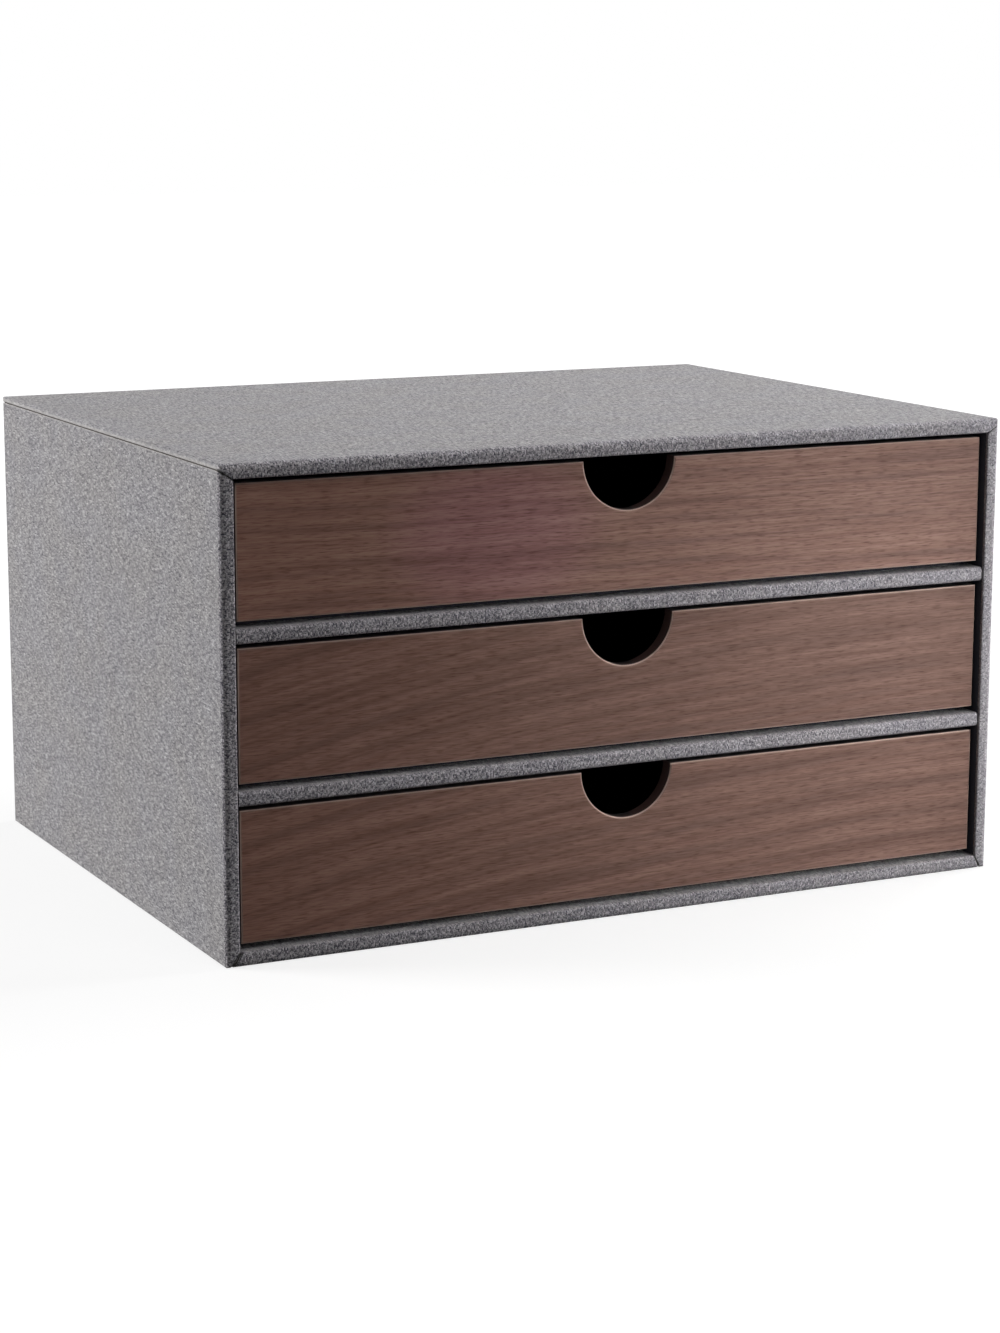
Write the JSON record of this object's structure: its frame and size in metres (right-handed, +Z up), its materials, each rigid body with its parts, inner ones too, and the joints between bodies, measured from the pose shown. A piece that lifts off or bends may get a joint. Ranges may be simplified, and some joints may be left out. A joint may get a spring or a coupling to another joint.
{
  "type": "desk file box with drawers",
  "caption": "Low desk box wrapped in grey cloth, with paper-size drawers whose wood-veneered fronts have half-moon finger notches.",
  "frame": {"origin": "on the ground under the middle of the case's outline", "axes": "+X across the front to the right as seen from the front, +Y from the front to the back, +Z up"},
  "size_m": [0.332, 0.251, 0.1841],
  "materials": {
    "book_cloth": "melange grey woven book cloth",
    "greyboard": "raw grey board",
    "black_paper": "matte black lining paper",
    "black_board": "board covered with matte black paper",
    "walnut_veneer": "satin walnut veneer",
    "stained_core": "stained fibreboard edge"
  },
  "bodies": {
    "case": {"bottom_board": "greyboard", "top_board": "greyboard", "left_board": "greyboard", "right_board": "greyboard", "back_board": "greyboard", "divider_1_board": "greyboard", "divider_2_board": "greyboard", "bottom_cloth": "book_cloth", "top_cloth": "book_cloth", "left_cloth": "book_cloth", "right_cloth": "book_cloth", "back_cloth": "book_cloth", "divider_1_cloth": "book_cloth", "divider_2_cloth": "book_cloth", "bay_1_lining": "black_paper", "bay_2_lining": "black_paper", "bay_3_lining": "black_paper"},
    "drawer_1": {"drawer_1_front_veneer": "walnut_veneer", "drawer_1_front_core": "stained_core", "drawer_1_floor": "black_board", "drawer_1_left_wall": "black_board", "drawer_1_right_wall": "black_board", "drawer_1_back_wall": "black_board", "drawer_1_lining": "black_paper"},
    "drawer_2": {"drawer_2_front_veneer": "walnut_veneer", "drawer_2_front_core": "stained_core", "drawer_2_floor": "black_board", "drawer_2_left_wall": "black_board", "drawer_2_right_wall": "black_board", "drawer_2_back_wall": "black_board", "drawer_2_lining": "black_paper"},
    "drawer_3": {"drawer_3_front_veneer": "walnut_veneer", "drawer_3_front_core": "stained_core", "drawer_3_floor": "black_board", "drawer_3_left_wall": "black_board", "drawer_3_right_wall": "black_board", "drawer_3_back_wall": "black_board", "drawer_3_lining": "black_paper"}
  },
  "joints": [
    {"name": "drawer_1_slide", "type": "slide", "parent": "case", "child": "drawer_1", "axis": [0, -1, 0], "range_m": [0, 0.2]},
    {"name": "drawer_2_slide", "type": "slide", "parent": "case", "child": "drawer_2", "axis": [0, -1, 0], "range_m": [0, 0.2]},
    {"name": "drawer_3_slide", "type": "slide", "parent": "case", "child": "drawer_3", "axis": [0, -1, 0], "range_m": [0, 0.2]}
  ]
}
